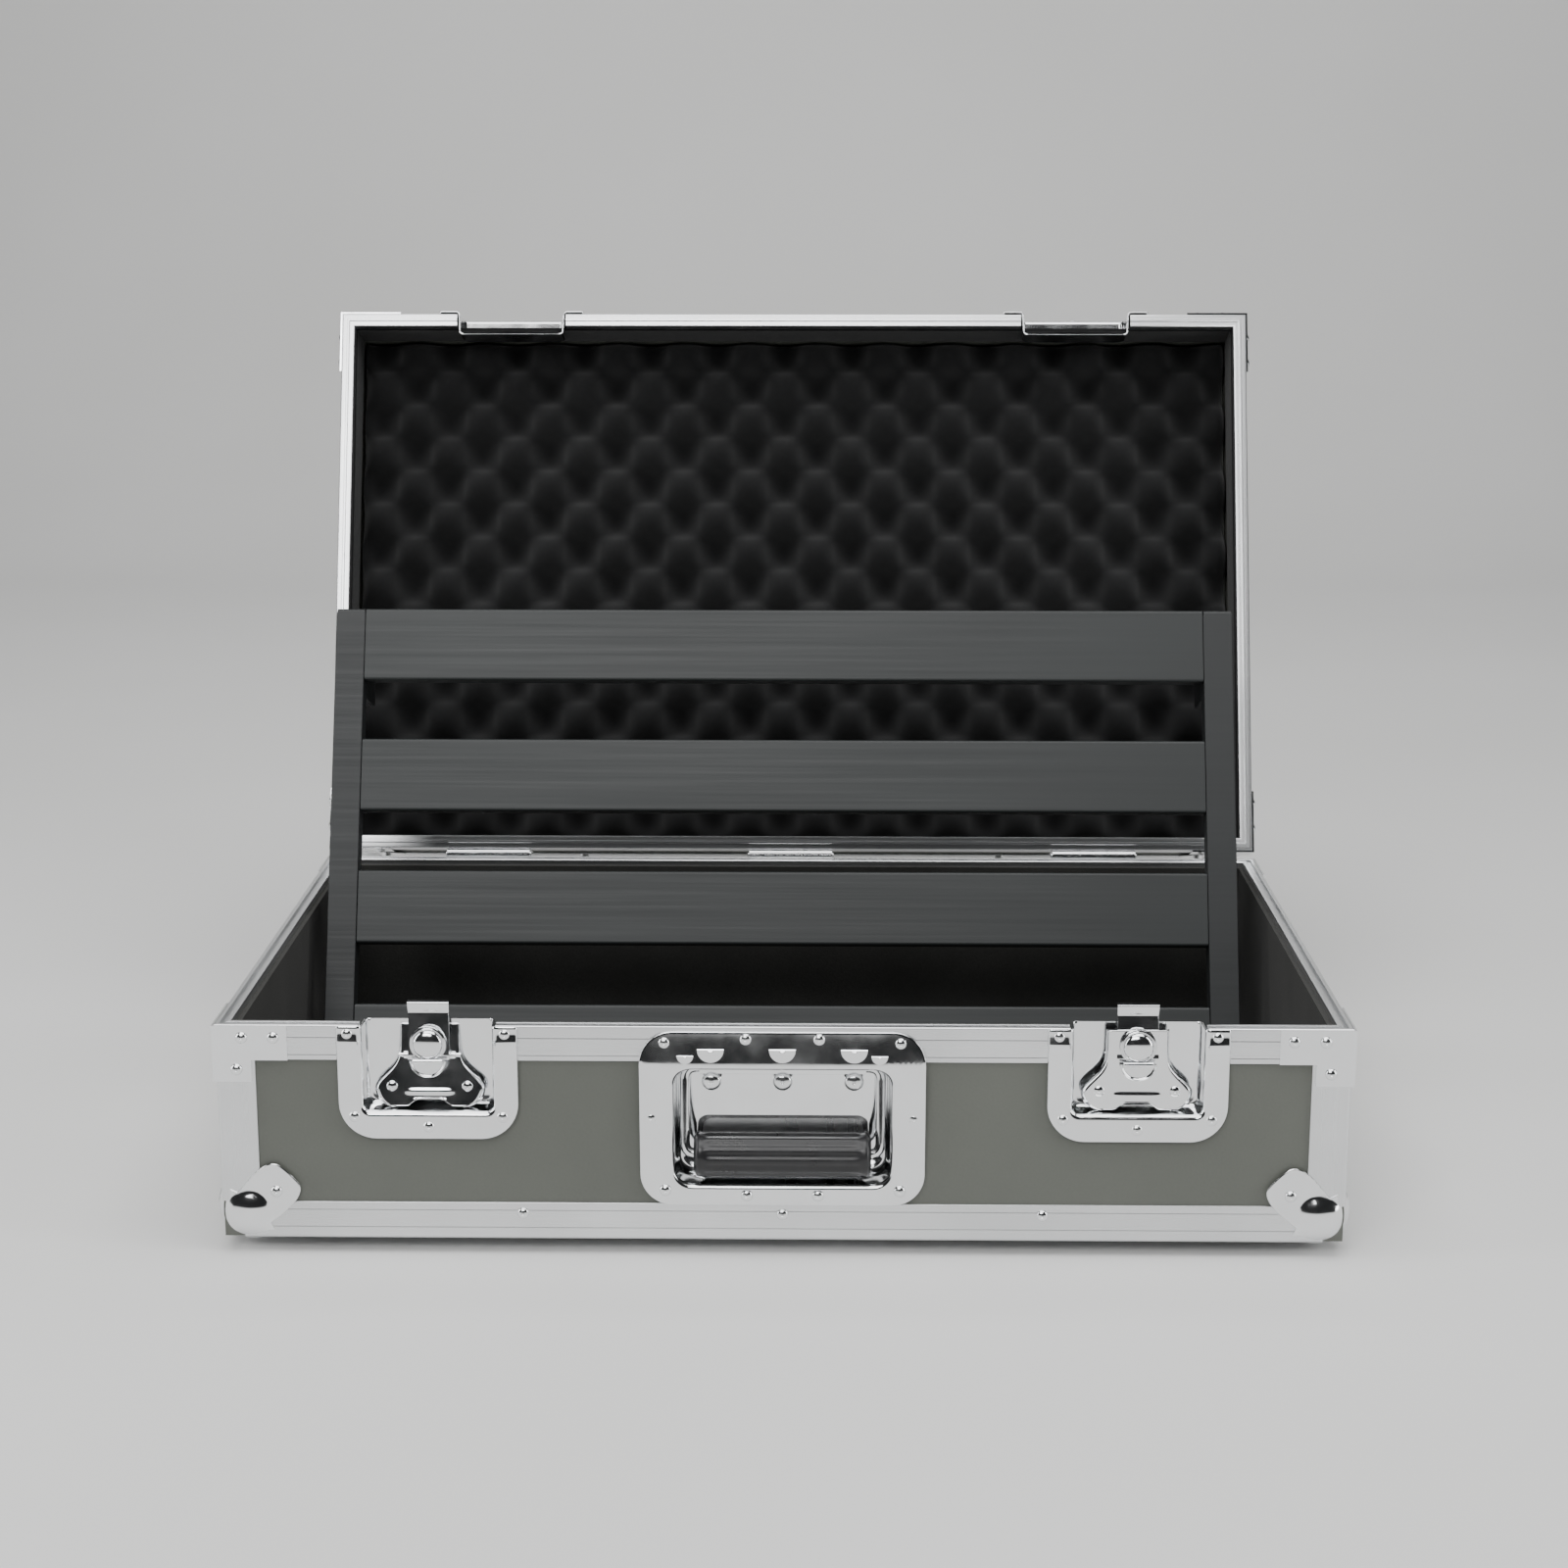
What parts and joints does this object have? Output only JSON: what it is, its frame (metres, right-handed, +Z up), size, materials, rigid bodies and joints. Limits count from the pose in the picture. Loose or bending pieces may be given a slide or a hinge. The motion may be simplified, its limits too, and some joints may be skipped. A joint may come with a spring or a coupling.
{
  "type": "hinged hard case with slatted board",
  "caption": "Hard-sided hinged case with metal edging, turn latches, recessed handle, foam-lined lid and a slatted board inside.",
  "frame": {"origin": "centre of the rest pose in plan, on the plane the feet stand on", "axes": "+X to the right seen from the latch side, +Y towards the hinges, +Z up"},
  "size_m": [0.6586, 0.5982, 0.5094],
  "materials": {
    "aluminium_edging": "satin",
    "chrome_hardware": "polished",
    "laminate_grey": "fine textured laminate over plywood",
    "foam_black": "open-cell convoluted foam",
    "lining_dark": "short felt",
    "board_black": "satin black paint",
    "rubber_black": "matte",
    "grip_black": "ribbed"
  },
  "bodies": {
    "base": {"base_back_panel": "laminate_grey", "base_ball_corners": "chrome_hardware", "base_bottom_edging": "aluminium_edging", "base_feet": "rubber_black", "base_floor_lining": "lining_dark", "base_floor_panel": "laminate_grey", "base_front_panel": "laminate_grey", "base_left_panel": "laminate_grey", "base_right_panel": "laminate_grey", "base_rim": "aluminium_edging", "base_rim_braces": "chrome_hardware", "base_rivets": "chrome_hardware", "base_upright_edging": "aluminium_edging", "base_wall_lining": "lining_dark", "foot_screws": "chrome_hardware", "handle_dish": "chrome_hardware", "handle_hinge_plate": "chrome_hardware", "hinge_center_base_leaf": "chrome_hardware", "hinge_left_base_leaf": "chrome_hardware", "hinge_pins": "chrome_hardware", "hinge_right_base_leaf": "chrome_hardware", "latch_left_dish": "chrome_hardware", "latch_left_plate": "chrome_hardware", "latch_right_dish": "chrome_hardware", "latch_right_plate": "chrome_hardware"},
    "lid": {"hinge_center_lid_leaf": "chrome_hardware", "hinge_left_lid_leaf": "chrome_hardware", "hinge_right_lid_leaf": "chrome_hardware", "latch_left_keeper_dish": "chrome_hardware", "latch_right_keeper_dish": "chrome_hardware", "lid_back_panel": "laminate_grey", "lid_ball_corners": "chrome_hardware", "lid_foam": "foam_black", "lid_front_panel": "laminate_grey", "lid_left_panel": "laminate_grey", "lid_right_panel": "laminate_grey", "lid_rim": "aluminium_edging", "lid_rim_braces": "chrome_hardware", "lid_rivets": "chrome_hardware", "lid_top_edging": "aluminium_edging", "lid_top_panel": "laminate_grey", "lid_upright_edging": "aluminium_edging"},
    "board_carriage": {"board_front_rollers": "rubber_black"},
    "board": {"board_axle": "chrome_hardware", "board_left_rail": "board_black", "board_rear_pads": "rubber_black", "board_right_rail": "board_black", "board_slat_1": "board_black", "board_slat_2": "board_black", "board_slat_3": "board_black", "board_slat_4": "board_black"},
    "handle": {"handle_bail": "chrome_hardware", "handle_grip": "grip_black"},
    "latch_left_hub": {"latch_left_hub": "chrome_hardware"},
    "latch_left_wing": {"latch_left_wing": "chrome_hardware"},
    "latch_left_hook": {"latch_left_hook": "chrome_hardware"},
    "latch_right_hub": {"latch_right_hub": "chrome_hardware"},
    "latch_right_wing": {"latch_right_wing": "chrome_hardware"},
    "latch_right_hook": {"latch_right_hook": "chrome_hardware"}
  },
  "joints": [
    {"name": "lid_swing", "type": "hinge", "parent": "base", "child": "lid", "pos_m": [0, 0.09889, 0.13925], "axis": [1, 0, 0], "range_deg": [0, 109]},
    {"name": "board_slide", "type": "slide", "parent": "base", "child": "board_carriage", "axis": [0, -1, 0], "range_m": [0, 0.183]},
    {"name": "board_tilt", "type": "hinge", "parent": "board_carriage", "child": "board", "pos_m": [0, -0.07561, 0.02985], "axis": [-1, 0, 0], "range_deg": [0, 63.4]},
    {"name": "handle_swing", "type": "hinge", "parent": "base", "child": "handle", "pos_m": [0, -0.27711, 0.11], "axis": [-1, 0, 0], "range_deg": [0, 75]},
    {"name": "latch_left_turn", "type": "hinge", "parent": "base", "child": "latch_left_hub", "pos_m": [-0.203, -0.28961, 0.127], "axis": [0, -1, 0], "range_deg": [0, 180]},
    {"name": "latch_left_fold", "type": "hinge", "parent": "latch_left_hub", "child": "latch_left_wing", "pos_m": [-0.203, -0.29186, 0.1175], "axis": [-1, 0, 0], "range_deg": [0, 90]},
    {"name": "latch_left_draw", "type": "hinge", "parent": "base", "child": "latch_left_hook", "pos_m": [-0.203, -0.28111, 0.118], "axis": [-1, 0, 0], "range_deg": [0, 8]},
    {"name": "latch_right_turn", "type": "hinge", "parent": "base", "child": "latch_right_hub", "pos_m": [0.203, -0.28961, 0.127], "axis": [0, -1, 0], "range_deg": [0, 180]},
    {"name": "latch_right_fold", "type": "hinge", "parent": "latch_right_hub", "child": "latch_right_wing", "pos_m": [0.203, -0.29186, 0.1175], "axis": [-1, 0, 0], "range_deg": [0, 90]},
    {"name": "latch_right_draw", "type": "hinge", "parent": "base", "child": "latch_right_hook", "pos_m": [0.203, -0.28111, 0.118], "axis": [-1, 0, 0], "range_deg": [0, 8]}
  ],
  "couplings": [
    {"joint": "board_slide", "follows": "lid_swing", "m_per_rad": 0.096193},
    {"joint": "board_tilt", "follows": "lid_swing", "ratio": 0.58165},
    {"joint": "latch_left_draw", "follows": "latch_left_turn", "ratio": 0.044444},
    {"joint": "latch_right_draw", "follows": "latch_right_turn", "ratio": 0.044444}
  ]
}
